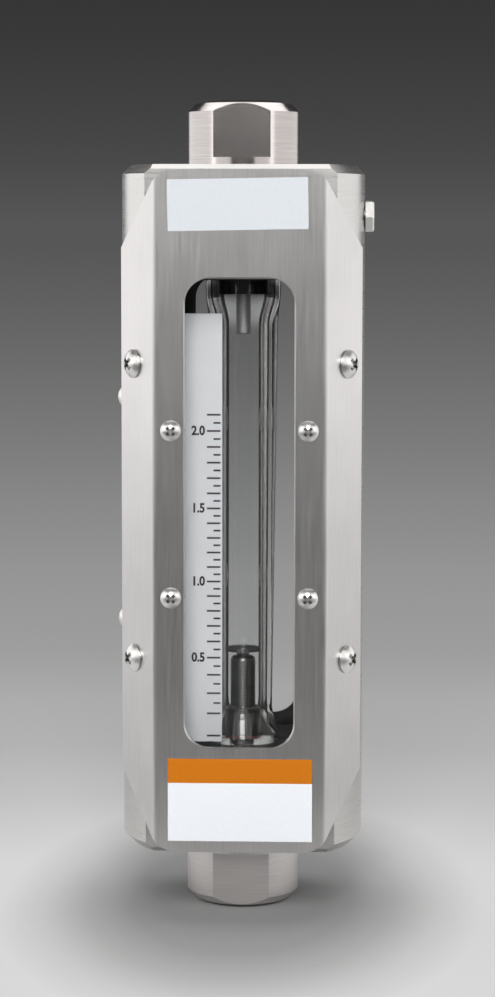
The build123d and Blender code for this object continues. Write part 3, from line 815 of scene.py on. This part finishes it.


# Floor: a painted pool of light, pale round the object, fading far out into a glow in the
# backdrop's tones
def floor():
    shape = bmesh.new()
    ring = []
    for side in range(FLOOR_SIDES):
        angle = 2 * math.pi * side / FLOOR_SIDES
        point = (FLOOR_RADIUS * math.cos(angle), FLOOR_RADIUS * math.sin(angle), 0.0)
        ring.append(shape.verts.new(point))
    shape.faces.new(ring)
    mesh = new_mesh("floor", shape)
    made = new_object("floor", mesh)
    surface, tree, shader = principled("floor", specular=0.0)
    reach = floor_reach(tree)
    lit = between(tree, reach, 0.0, FLOOR_FAR, 0.0, 1.0)
    tone = colour_ramp(tree, lit, studio_grey(PAINTED_POOL_TONES))
    tree.links.new(paint_foot_shadow(tree, paint_side_light(tree, tone)), shader.inputs["Base Color"])
    shader.inputs["Roughness"].default_value = FLOOR_ROUGHNESS
    nearness = calculate(tree, "DIVIDE", FLOOR_NEAR, reach)
    glow = tree.nodes.new("ShaderNodeEmission")
    tree.links.new(colour_ramp(tree, nearness, studio_grey(FAR_TONES)), glow.inputs["Color"])
    fade = between(tree, reach, FLOOR_NEAR, FLOOR_FAR, 0.0, 1.0)
    share = calculate(tree, "MULTIPLY", fade, seen_rays(tree))
    mix_shaders(tree, share, shader, glow, tree.nodes["Material Output"])
    mesh.materials.append(surface)


# Room: what is seen above the floor, and the even light that fills the shadows
def room():
    world = bpy.data.worlds.new("room")
    bpy.context.scene.world = world
    world.use_nodes = True
    tree = world.node_tree
    tree.nodes.clear()
    output = tree.nodes.new("ShaderNodeOutputWorld")
    place = tree.nodes.new("ShaderNodeTexCoord")
    split = tree.nodes.new("ShaderNodeSeparateXYZ")
    tree.links.new(place.outputs["Generated"], split.inputs["Vector"])
    rise = between(tree, split.outputs["Z"], 0.0, ROOM_RISE, 0.0, 1.0)
    seen = tree.nodes.new("ShaderNodeBackground")
    tree.links.new(colour_ramp(tree, rise, studio_grey(ROOM_TONES)), seen.inputs["Color"])
    lit = tree.nodes.new("ShaderNodeBackground")
    lit.inputs["Color"].default_value = (1, 1, 1, 1)
    lit.inputs["Strength"].default_value = ROOM_LIGHT
    mix_shaders(tree, seen_rays(tree), lit, seen, output)


# Brightness is what the lamp's face gives off, so energy grows with the size
def softbox(name, place, aim, size, brightness):
    width, height = size
    data = bpy.data.lights.new(name, "AREA")
    data.shape = "RECTANGLE"
    data.size = width
    data.size_y = height
    data.energy = brightness * math.pi * width * height
    made = new_object(name, data)
    made.visible_camera = False
    made.location = place
    made.rotation_euler = (Vector(aim) - Vector(place)).to_track_quat("-Z", "Y").to_euler()


def lamps():
    pairs = (
        ("side_box", SIDE_PLACE, SIDE_SIZE, SIDE_LIGHT),
        ("front_box", CORNER_PLACE, CORNER_SIZE, CORNER_LIGHT),
    )
    for hand, side, share in ((-1, "left", 1.0), (1, "right", RIGHT_SHARE)):
        for name, (across, along, up), size, light in pairs:
            place = (hand * across, along, up)
            softbox(f"{side}_{name}", place, LAMP_AIM, size, light * share)
    softbox("front_box", FRONT_PLACE, LAMP_AIM, FRONT_SIZE, FRONT_LIGHT)
    softbox("top_box", TOP_PLACE, (0, 0, 0), TOP_SIZE, TOP_LIGHT)


def camera():
    data = bpy.data.cameras.new("camera")
    data.sensor_fit = "VERTICAL"
    data.sensor_height = SENSOR
    data.lens = CAMERA_LENS
    data.clip_start = CAMERA_START
    data.clip_end = CAMERA_END
    made = new_object("camera", data)
    made.location = CAMERA_PLACE
    turn = Matrix.Rotation(math.radians(CAMERA_TURN), 3, "Z")
    tilt = Matrix.Rotation(math.radians(CAMERA_TILT), 3, "X")
    roll = Matrix.Rotation(math.radians(CAMERA_ROLL), 3, "Z")
    made.rotation_euler = (turn @ tilt @ roll).to_euler()
    bpy.context.scene.camera = made


floor()
room()
lamps()
camera()

bpy.context.scene.view_settings.view_transform = "Standard"
